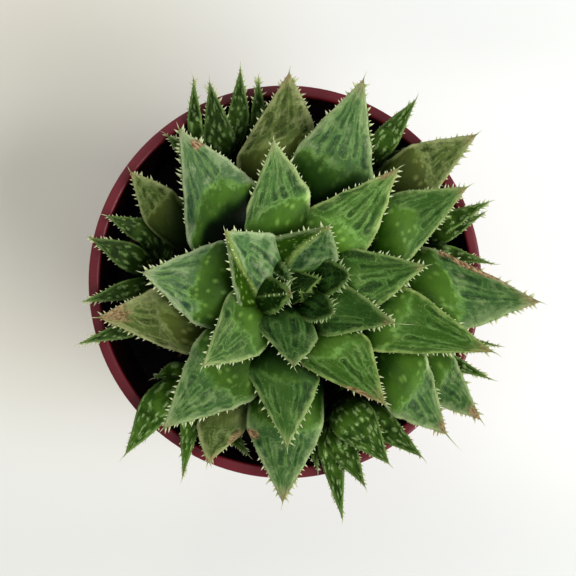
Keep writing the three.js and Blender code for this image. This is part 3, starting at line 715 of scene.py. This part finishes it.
class Graph:
    """Short calls that set up the nodes of one material."""

    def __init__(self, name):
        self.material = bpy.data.materials.new(name)
        self.material.use_nodes = True
        self.tree = self.material.node_tree
        self.shader = self.tree.nodes["Principled BSDF"]

    def link(self, value, socket):
        if isinstance(value, Wire):
            self.tree.links.new(value.socket, socket)
        elif socket.type == "RGBA":
            socket.default_value = linear(*value)
        else:
            socket.default_value = value

    def node(self, kind, inputs, output=0, **settings):
        """The output of a new node, with its inputs and outputs given by name or number."""
        node = self.tree.nodes.new("ShaderNode" + kind)
        for name, value in settings.items():
            setattr(node, name, value)
        for name, value in inputs.items():
            self.link(value, node.inputs[name])
        return Wire(self, node.outputs[output])

    def value(self, name):
        return self.node("Attribute", {}, "Fac", attribute_name=name)

    def place(self, stretch=(1, 1, 1)):
        source = self.node("Attribute", {}, "Vector", attribute_name="place")
        return self.node("VectorMath", {0: source, 1: stretch}, operation="MULTIPLY")

    def moved(self, vector, colour, amount):
        """vector pushed about by a noise colour."""
        centred = self.node("VectorMath", {0: colour, 1: (0.5, 0.5, 0.5)}, operation="SUBTRACT")
        return self.node("VectorMath", {0: centred, 1: [amount] * 3, 2: vector}, operation="MULTIPLY_ADD")

    def math(self, operation, *values):
        return self.node("Math", dict(enumerate(values)), operation=operation)

    def step(self, value, start, end, low=0.0, high=1.0):
        """A smooth rise from low to high while value goes from start to end, which may be the smaller."""
        if start > end:
            start, end, low, high = end, start, high, low
        inputs = {"Value": value, "From Min": start, "From Max": end, "To Min": low, "To Max": high}
        return self.node("MapRange", inputs, "Result", interpolation_type="SMOOTHSTEP")

    def noise(self, vector, scale, detail=3.0, rough=0.55, output="Fac"):
        inputs = {"Vector": vector, "Scale": scale, "Detail": detail, "Roughness": rough}
        return self.node("TexNoise", inputs, output)

    def cells(self, vector, scale, jitter=1.0, feature="F1"):
        inputs = {"Vector": vector, "Scale": scale, "Randomness": jitter}
        return self.node("TexVoronoi", inputs, "Distance", feature=feature, voronoi_dimensions="2D")

    def rgb(self, red, green, blue):
        return self.node("CombineColor", {0: red, 1: green, 2: blue})

    def blend(self, share, a, b, mode="MIX"):
        return self.node("Mix", {0: share, 6: a, 7: b}, 2, data_type="RGBA", blend_type=mode)

    def ramp(self, value, start, end, a, b):
        """From colour a to colour b while value goes from start to end."""
        return self.blend(self.step(value, start, end), a, b)

    def shaded(self, colour, shade, mottled=1.0):
        """colour under leaves that keep off a share of the light, a little more of the red and the blue."""
        left = (1.0 - shade) * mottled
        covered = self.math("MAXIMUM", shade, 0.0)
        tint = self.rgb(*(left * (1.0 - covered * lost) for lost in SHADE_TINT))
        return self.blend(1.0, colour, tint, "MULTIPLY")

    def bump(self, height, distance, strength, normal=None):
        inputs = {"Distance": distance * MM, "Strength": strength, "Height": height}
        if normal is not None:
            inputs["Normal"] = normal
        return self.node("Bump", inputs, "Normal")

    def finish(self, colour, roughness, normal=None, flesh=None, shine=0.5):
        inputs = {"Base Color": colour, "Roughness": roughness, "Specular IOR Level": shine}
        if normal is not None:
            inputs["Normal"] = normal
        if flesh is not None:
            inputs["Subsurface Weight"] = flesh
            inputs["Subsurface Scale"] = FLESH_DEPTH * MM
            inputs["Subsurface Radius"] = FLESH_TINT
        for name, value in inputs.items():
            self.link(value, self.shader.inputs[name])
        return self.material

def leaf_material(name, palette):
    """Windowed leaf skin: long dark panes on the end, smooth dotted heel, and a darker dotted back."""
    g = Graph(name)
    place = g.place()
    along, border, brown, cool = (g.value(key) for key in ("along", "border", "brown", "cool"))
    shade, tooth = g.value("shade"), g.value("tooth")
    cloud = g.noise(place, 0.16)
    skin = g.noise(place, 1.6, 4, 0.6)
    uneven = skin - 0.5

    heel = g.ramp(cloud, 0.3, 0.7, *palette["heel"])
    blotch = g.cells(g.moved(place, g.noise(place, 0.6, output="Color"), 0.9), 0.36, 0.9)
    spotted = g.step(along, 0.26, 0.48) * g.step(g.noise(place, 0.13, 1), 0.42, 0.6, 0.1, 0.5)
    heel = g.blend(g.step(blotch, 0.3, 0.0) * spotted, heel, palette["dot"])
    # painted light: the heel is tinted paler just below the window's start
    heel = g.blend(g.value("glow") * 0.14, heel, palette["line"])

    pane_edge = g.value("pane") + uneven * 1.1
    in_pane = g.step(pane_edge, 0.15, -0.7) * g.step(g.noise(place, 0.4), 0.36, 0.6, 0.3, 1.0)
    outline = g.step(abs(pane_edge - 0.14), 0.45, 0.05)
    streaks = g.step(g.noise(g.place((1.6, 0.22, 1)), 1.0, 3, 0.6), 0.48, 0.66)
    bent = g.moved(g.place((1, 0.4, 1)), g.noise(place, 0.35, 2, output="Color"), 2.0)
    net = g.step(g.cells(bent, 0.62, feature="DISTANCE_TO_EDGE"), 0.09, 0.0)
    patchy = g.noise(place, 0.35, 3, 0.6)
    vivid = g.step(patchy, 0.36, 0.62, 0.3, 1.0)
    lines = g.math("MAXIMUM", outline * 0.56, net * 0.18)
    lines = g.math("MAXIMUM", lines, streaks * 0.3) * vivid
    rim_colour = g.blend(cool, *palette["rim"])
    window = g.blend(in_pane, g.blend(cool, *palette["mid"]), g.blend(cool, *palette["pane"]))
    window = g.blend(lines, window, palette["line"])
    # a whitish bloom, partly painted sheen, stronger on the bluish windows and near the margins
    cloudy = g.noise(place, 0.25, 4, 0.65) + g.step(border, 2.4, 0.2, 0.0, 0.18)
    bloom_and_sheen = g.step(cloudy, 0.48, 0.7) * g.step(cool, 0.0, 1.0, 0.06, 0.44)
    window = g.blend(bloom_and_sheen, window, rim_colour)
    # pale raised specks, partly painted glints
    specks_and_glints = g.step(g.cells(place, 0.95), 0.13, 0.05) * g.step(g.noise(place, 0.5, 1), 0.46, 0.6)
    window = g.blend(specks_and_glints * 0.75, window, rim_colour)

    scallop = g.noise(g.place((1, 0.35, 1)), 0.55, 2) - 0.5
    ragged = g.value("window") + uneven * 0.6 + scallop * 1.1
    inside = g.step(ragged, 0.25, 0.75)
    face = g.blend(inside, heel, window)
    seam = g.step(abs(ragged - 0.42), 0.26, 0.0)
    face = g.blend(seam * vivid * 0.4, face, palette["line"])

    warts = g.cells(g.place((1, 0.75, 1)), 0.72, 0.85)
    dots = g.step(warts, 0.3, 0.05) * g.step(g.noise(place, 0.3, 1), 0.36, 0.6, 0.25, 1.0)
    back = g.ramp(cloud, 0.3, 0.7, *palette["back"])
    back = g.blend(dots * 0.75, back, palette["dot"])

    is_front = g.step(g.value("front"), 0.35, 0.65)
    mottled = g.noise(place, 4.5, 3, 0.6) * 0.3 + 0.85
    colour = g.shaded(g.blend(is_front, back, face), shade, mottled)
    pale = g.shaded(rim_colour, shade * 0.62)
    edge = border + uneven * 0.8 - (patchy - 0.45) * 2.2
    rim = g.step(edge, 0.95, -0.25) * (g.step(along, 0.34, 0.5) * 0.8)
    colour = g.blend(rim, colour, pale)
    colour = g.blend(g.step(along, 0.86, 1.0, 0.0, 0.4), colour, pale)

    spiny = g.shaded(g.ramp(tooth, 0.4, 0.75, TOOTH_GREEN, TOOTH_PALE), shade * 0.5)
    colour = g.ramp(tooth, 0.05, 0.3, colour, spiny)
    dry = g.ramp(g.noise(place, 0.9, 2), 0.4, 0.62, DRY_BROWN, DRY_PINK)
    colour = g.blend(brown * g.step(skin, 0.25, 0.55, 0.5, 1.0), colour, dry)

    relief = lines * inside * is_front * 0.6 + dots * (1.0 - is_front) * 0.8 + specks_and_glints * 0.5
    normal = g.bump(skin, 0.12, 0.5, g.bump(relief, 0.3, 0.8))
    return g.finish(colour, skin * 0.3 + 0.3 + brown * 0.3, normal, 0.12, palette["shine"])

def offset_material():
    """Young leaves: green with rows of long pale raised spots."""
    g = Graph("offset_skin")
    place = g.place()
    cool, tooth = g.value("cool"), g.value("tooth")
    cloud = g.noise(place, 0.35)
    skin = g.noise(place, 2.2)
    dark = g.ramp(cloud, 0.32, 0.68, (26, 42, 12), (50, 70, 26))
    light = g.ramp(cloud, 0.32, 0.68, (44, 72, 14), (76, 108, 36))
    bent = g.moved(g.place((0.68, 0.34, 1)), g.noise(place, 0.5, 2, output="Color"), 0.9)
    spots = g.step(g.cells(bent, 1.0, 0.85) + skin * 0.5, 0.7, 0.36)
    faint = g.step(g.noise(place, 0.6, 2), 0.34, 0.6, 0.45, 1.0) * g.step(cool, 0.0, 0.8, 0.5, 1.0)
    green = g.blend(spots * faint, g.blend(cool, dark, light), (138, 164, 104))
    green = g.blend(g.step(g.value("border"), 0.7, 0.05) * 0.6, green, (132, 160, 92))
    green = g.shaded(green, g.value("shade"))
    colour = g.ramp(tooth, 0.05, 0.3, green, g.ramp(tooth, 0.35, 0.8, TOOTH_GREEN, TOOTH_PALE))
    colour = g.blend(g.value("brown"), colour, DRY_BROWN)
    normal = g.bump(skin, 0.08, 0.5, g.bump(spots, 0.3, 0.9))
    return g.finish(colour, skin * 0.25 + 0.32, normal, 0.08, 0.12)

def stem_material():
    """Short stem with the pale scars of old leaves, and the skin of the bud on it."""
    g = Graph("stem_skin")
    place = g.place()
    rings = g.noise(g.place((0.15, 0.15, 1)), 1.1)
    skin = g.noise(place, 1.5, 4)
    bark = g.ramp(rings, 0.42, 0.6, (72, 66, 38), (118, 112, 66))
    # The bud's green is very dark, partly its own colour and partly painted shade, as it sits deep in the
    # heart.
    young = g.ramp(skin, 0.3, 0.7, (14, 32, 8), (36, 62, 18))
    streaks = g.step(g.noise(g.place((1.8, 0.25, 1)), 1.0, 2), 0.52, 0.68)
    young = g.blend(streaks * 0.4, young, (92, 124, 60))
    young = g.ramp(g.value("border"), 0.5, 0.0, young, (118, 140, 76))
    colour = g.ramp(g.value("along"), 0.0, 0.05, bark, young)
    colour = g.ramp(g.value("tooth"), 0.05, 0.3, colour, TOOTH_GREEN)
    return g.finish(colour, 0.55, g.bump(rings + skin, 0.3, 0.6), shine=0.1)

def soil_material():
    """Dark potting soil, darkened further as painted shade, with paler crumbs and dry brown scraps."""
    g = Graph("soil_crumb")
    place = g.place()
    crumb = g.noise(place, 0.9, 6, 0.7)
    fine = g.noise(place, 3.5)
    earth_and_shade = g.ramp(crumb, 0.4, 0.7, (8, 6, 5), (30, 21, 15))
    scrap = g.ramp(fine, 0.35, 0.65, (60, 38, 24), (122, 88, 58))
    stone = g.ramp(fine, 0.35, 0.65, (52, 46, 40), (92, 84, 74))
    colour = g.blend(g.value("tooth"), g.blend(g.value("brown"), earth_and_shade, scrap), stone)
    return g.finish(colour, 0.92, g.bump(crumb + fine * 0.4, 0.8, 0.9))

def pot_material():
    """Maroon nursery plastic, scuffed. Its inner wall is darkened almost to black as painted shade, with
    darker patches.
    """
    g = Graph("pot_plastic")
    place = g.place()
    # the pot's brown value marks the inner wall, which takes the painted shade
    inside = g.value("brown")
    grain = g.noise(place, 2.6, 2)
    scuffs = g.step(g.noise(g.place((1, 1, 0.12)), 1.1, 4, 0.7), 0.6, 0.76)
    plastic = g.ramp(g.noise(place, 0.06), 0.3, 0.7, (106, 25, 36), (118, 31, 43))
    plastic = g.blend(scuffs * 0.32, plastic, (172, 120, 118))
    marks = g.step(g.noise(place, 0.45, 5, 0.7), 0.52, 0.7)
    # painted shade: the inner wall is darkened almost to black, with darker patches on it
    colour = g.blend(inside * 0.9, plastic, (14, 7, 8))
    colour = g.blend(inside * marks * 0.8, colour, (9, 6, 5))
    return g.finish(colour, scuffs * 0.25 + grain * 0.12 + 0.3, g.bump(grain, 0.03, 0.6))

# ---------------- pieces

def dress(piece, node):
    """The piece stands for a solid: it joins the body, and the solid's part is hidden."""
    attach(piece, BODY)
    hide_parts(node)

def make_rosette():
    materials = {tone: leaf_material(f"leaf_{tone}", palette) for tone, palette in PALETTES.items()}
    stem = np.array([*STEM_AT, 0.0])
    for index, (name, tone, knee, tip, width, roll, skew, foot, brown, awn) in enumerate(LEAVES):
        rng = np.random.default_rng(100 + index)
        start, bulge, shade, shadow, cool = SKINS.get(name, USUAL_SKIN)
        green, bluish, pitch = LEAF_TEETH
        tooth, taper = mix(green, bluish, cool), 1.0
        if name.startswith("heart"):
            (tooth, pitch), taper = YOUNG_TEETH, YOUNG_TAPER
        outward = unit((np.array(knee, float) - stem) * (1, 1, 0))
        root = rim_point(*STEM_AT, foot) + outward * (STEM_RADIUS + ROOT_CLEARANCE)
        leaf = Leaf(root, rim_point(*knee), rim_point(*tip), width, index + 1, roll, skew, True, start, bulge,
                    shade, shadow, FOLDS.get(name), GAP_SHADES.get(name, NO_GAP_SHADE), taper)
        sculpt = Sculpt()
        add_blade(sculpt, leaf, [scar[1:] for scar in SCARS if scar[0] == name], brown, cool)
        reddish = max(0.6 * brown**4, 0.45 * brown if tone == "olive" else 0.0)
        add_teeth(sculpt, leaf, tooth, pitch, reddish, rng, keeled=0.4)
        add_awn(sculpt, leaf, awn, 0.3 * brown, rng)
        dress(sculpt.make(f"haworthia_leaf_{name}", materials[tone]), f"leaf_{name}")

def make_offsets():
    material = offset_material()
    for index, (name, at, light, leaves) in enumerate(OFFSETS):
        rng = np.random.default_rng(300 + index)
        sculpt = Sculpt()
        add_stem(sculpt, at, OFFSET_STEM_RADIUS, -OFFSET_STEM_ROOT, -OFFSET_STEM_TOP)
        root = rim_point(*at, -OFFSET_STEM_TOP - OFFSET_ROOT_DEPTH)
        on_dark, on_light, pitch = OFFSET_TEETH
        for number, (*points, width) in enumerate(leaves):
            leaf = Leaf(root, rim_point(*points[:3]), rim_point(*points[3:]), width, 40 + index * 6 + number,
                        shadow=OFFSET_SHADOW)
            add_blade(sculpt, leaf, tip_brown=0.3, cool=light)
            add_teeth(sculpt, leaf, mix(on_dark, on_light, light), pitch, 0.1, rng, keeled=0.6)
            add_awn(sculpt, leaf, rng.uniform(1.2, 2.2), 0.15, rng)
        dress(sculpt.make(f"haworthia_offset_{name}", material), f"offset_{name}")

def add_stem(sculpt, at, radius, bottom, top):
    """A round stem with a domed top and ridged sides, between two heights over the rim."""
    around, rings = 24, 14
    bottom, top = bottom + POT_HEIGHT, top + POT_HEIGHT
    heights = [*np.linspace(bottom, top - radius, rings), *(top - radius * np.array([0.62, 0.3, 0.08]))]
    radii = np.array([1.0] * rings + [0.9, 0.66, 0.36]) * radius
    radii[1:rings] *= 1 - 0.05 * (np.arange(rings - 1) % 2)
    points = np.concatenate([circle(r, z, around, at) for r, z in zip(radii, heights)])
    points = np.concatenate([points, [(*at, bottom), (*at, top)]])
    sculpt.add(points, capped(len(heights), around), border=4.0)

def make_stem():
    sculpt = Sculpt()
    rng = np.random.default_rng(77)
    add_stem(sculpt, STEM_AT, STEM_RADIUS, -STEM_ROOT, STEM_TOP)
    axis = np.array([*STEM_AT, 0.0])
    for index, (knee, tip, width) in enumerate(BUD_LEAVES):
        root = rim_point(*STEM_AT, STEM_TOP - BUD_ROOT_DEPTH) + np.array(knee) * (0.3, 0.3, 0)
        leaf = Leaf(root, rim_point(*(axis + knee)), rim_point(*(axis + tip)), width, 90 + index)
        add_blade(sculpt, leaf)
        add_teeth(sculpt, leaf, *BUD_TEETH, 0.0, rng)
        add_awn(sculpt, leaf, 0.8, 0.1, rng)
    dress(sculpt.make("haworthia_stem", stem_material()), "stem")

def pot_inside(z):
    return FLOOR_RADIUS + (z - POT_FLOOR) * WALL_SLOPE

def soil_height(x, y):
    bumps = np.sin(0.55 * x + 1) * np.cos(0.5 * y) + 0.5 * np.sin(1.3 * x + 0.8 * y)
    return POT_HEIGHT - SOIL_DEPTH + SOIL_BUMP * bumps

def add_lump(sculpt, centre, sizes, rng, brown=0.0, stone=0.0):
    """A rough crumb, scrap or grain with uneven sides."""
    rings, around = 4, 8
    turn = rng.uniform(0, math.pi)
    tilts = math.pi * np.arange(1, rings + 1) / (rings + 1)
    ball = np.concatenate([circle(math.sin(tilt), math.cos(tilt), around) for tilt in tilts])
    x, y, z = (ball * sizes * rng.uniform(0.75, 1.15, (len(ball), 1))).T
    c, s = math.cos(turn), math.sin(turn)
    ball = np.stack([x * c - y * s, x * s + y * c, z], axis=1)
    points = centre + np.concatenate([ball, [UP * sizes[2], -UP * sizes[2]]])
    sculpt.add(points, capped(rings, around, outward=False), brown=brown, tooth=stone)

def make_soil():
    sculpt = Sculpt()
    rng = np.random.default_rng(11)
    around, rings = 120, 44
    bottom = POT_FLOOR + GAP
    level = POT_HEIGHT - SOIL_DEPTH
    radius = pot_inside(level) - GAP
    points = []
    for i in range(1, rings + 1):
        ring = circle(radius * i / rings, 0, around)
        ring[:, 2] = soil_height(*ring.T[:2]) + 0.35 * ripples(21, 14, 1.7, ring)
        points.append(ring)
    ring[:, 2] = level - 0.6
    points += [circle(pot_inside(bottom) - GAP, bottom, around), [(0, 0, soil_height(0, 0)), (0, 0, bottom)]]
    sculpt.add(np.concatenate(points), capped(rings + 1, around, outward=False))
    for _ in range(CRUMBS):
        r = radius * 0.97 * math.sqrt(rng.uniform())
        a = rng.uniform(0, 2 * math.pi)
        x, y = r * math.cos(a), r * math.sin(a)
        size = rng.uniform(0.35, 1.3)
        sizes = size * np.array([1, rng.uniform(0.6, 1), rng.uniform(0.45, 0.8)])
        kind = rng.uniform()
        centre = np.array([x, y, soil_height(x, y) + 0.2 * size])
        add_lump(sculpt, centre, sizes, rng, brown=float(kind > 0.86), stone=float(kind < 0.05))
    for _ in range(SCRAPS):
        x, y = SCRAPS_AT[0] + rng.normal() * 3.5, SCRAPS_AT[1] + rng.normal() * 2.6
        if math.hypot(x, y) < radius - 2:
            sizes = np.array([rng.uniform(0.9, 2.6), rng.uniform(0.3, 0.7), rng.uniform(0.2, 0.4)])
            centre = np.array([x, y, soil_height(x, y) + rng.uniform(0.3, 2.2)])
            add_lump(sculpt, centre, sizes, rng, brown=1.0)
    dress(sculpt.make("haworthia_soil", soil_material()), "soil")

def rounded(profile, radius):
    """A profile of [radius, height] points with its inner corners cut into small arcs."""
    out = [profile[0]]
    for before, here, after in zip(profile, profile[1:], profile[2:]):
        before, here, after = (np.array(p, float) for p in (before, here, after))
        reach = min(radius, np.linalg.norm(before - here) / 2, np.linalg.norm(after - here) / 2)
        start = here + unit(before - here) * reach
        end = here + unit(after - here) * reach
        for share in (0, 0.25, 0.5, 0.75, 1):
            out.append(tuple(start * (1 - share) ** 2 + here * 2 * share * (1 - share) + end * share**2))
    out.append(profile[-1])
    return out

def make_pot():
    wall = POT_WALL / math.cos(math.atan(WALL_SLOPE))
    collar = POT_HEIGHT - COLLAR_HEIGHT
    profile = rounded([
        (0, 0),
        (pot_inside(0) + wall, 0),
        (pot_inside(collar) + wall, collar - 0.3),
        (pot_inside(collar) + RIM_BAND, collar),
        (RIM_RADIUS, POT_HEIGHT),
        (RIM_RADIUS - RIM_BAND, POT_HEIGHT),
        (FLOOR_RADIUS, POT_FLOOR),
        (0, POT_FLOOR),
    ], 0.7)
    around = 144
    rings = profile[1:-1]
    points = np.concatenate([circle(r, z, around) for r, z in rings] + [[(0, 0, 0), (0, 0, POT_FLOOR)]])
    # the inner wall's points carry the painted shade of the pot's inside
    inner = np.repeat(np.arange(len(rings)) > len(profile) * 0.72, around)
    sculpt = Sculpt()
    sculpt.add(points, capped(len(rings), around), brown=np.append(inner, [0.0, 1.0]))
    pot = sculpt.make("haworthia_pot", pot_material())
    cut_drains(pot)
    dress(pot, "pot")

def cut_drains(pot):
    """Round holes through the floor."""
    sculpt = Sculpt()
    sides = 32
    for k in range(DRAIN_COUNT):
        turn = (k + 0.5) / DRAIN_COUNT * 2 * math.pi
        at = (DRAIN_RING * math.cos(turn), DRAIN_RING * math.sin(turn))
        points = np.concatenate([circle(DRAIN_RADIUS, z, sides, at) for z in (-2.0, POT_FLOOR + 2)])
        ends = [tuple(range(sides))[::-1], tuple(range(sides, 2 * sides))]
        sculpt.add(points, tube_faces(2, sides) + ends)
    cutter = sculpt.make("drain_cutter", pot.data.materials[0])
    hole = pot.modifiers.new("drains", "BOOLEAN")
    hole.object = cutter
    hole.solver = "EXACT"
    cut = bpy.data.meshes.new_from_object(pot.evaluated_get(bpy.context.evaluated_depsgraph_get()))
    pot.modifiers.clear()
    pot.data = cut
    bpy.data.objects.remove(cutter)

# ---------------- floor, light and camera

def make_floor():
    """Plain and pale. Near the pot it has painted shade: a little dimmer to the north and south, and a warm
    painted shadow to the west.
    """
    mesh = bpy.data.meshes.new("studio_floor")
    corners = [(x * FLOOR_REACH, y * FLOOR_REACH, 0) for x, y in ((-1, -1), (1, -1), (1, 1), (-1, 1))]
    mesh.from_pydata(corners, [], [(0, 1, 2, 3)])
    g = Graph("studio_floor")
    source = g.node("TexCoord", {}, "Object")
    plain = g.ramp(g.noise(source, 9), 0.3, 0.7, (242, 244, 241), (246, 248, 245))
    east, north = (g.node("SeparateXYZ", {0: source}, axis) for axis in "XY")
    # painted shadow of the pot: dimmer to the north and south, and a warm tint to the west
    floor_shade = g.step(north, -0.03, -0.075, 1.0, 0.86) * g.step(north, 0.045, 0.07, 1.0, 0.93)
    colour = g.blend(1.0, plain, g.rgb(floor_shade, floor_shade, floor_shade), "MULTIPLY")
    warm_floor_shadow = g.step(east, 0.04, -0.07) * g.step(north, -0.06, -0.01, 0.25, 1.0)
    colour = g.blend(warm_floor_shadow, colour, g.blend(1.0, colour, (255, 250, 238), "MULTIPLY"))
    far = g.node("VectorMath", {0: source}, "Value", operation="LENGTH")
    mesh.materials.append(g.finish(g.ramp(far, 0.1, 0.3, colour, plain), 0.7))
    add_object("studio_floor", mesh)

def make_light():
    for name, place, size, power, colour in LIGHTS:
        data = bpy.data.lights.new(name, "AREA")
        data.shape = "DISK"
        data.size = size
        data.energy = power
        data.color = colour
        light = add_object(name, data)
        light.location = place
        light.rotation_euler = (-light.location).to_track_quat("-Z", "Y").to_euler()
    world = bpy.data.worlds.new("studio")
    world.use_nodes = True
    sky = world.node_tree.nodes["Background"].inputs
    sky["Color"].default_value = SKY
    sky["Strength"].default_value = SKY_STRENGTH
    bpy.context.scene.world = world
    view = bpy.context.scene.view_settings
    view.view_transform = "Standard"
    view.look = "Medium High Contrast"

def make_camera():
    data = bpy.data.cameras.new("camera")
    data.sensor_width = SENSOR
    data.lens = SENSOR * (EYE[2] - POT_HEIGHT) / FIELD
    data.clip_start = 0.01
    data.clip_end = 20
    camera = add_object("camera", data)
    camera.location = [value * MM for value in EYE]
    bpy.context.scene.camera = camera

make_pot()
make_soil()
make_stem()
make_rosette()
make_offsets()
make_floor()
make_light()
make_camera()
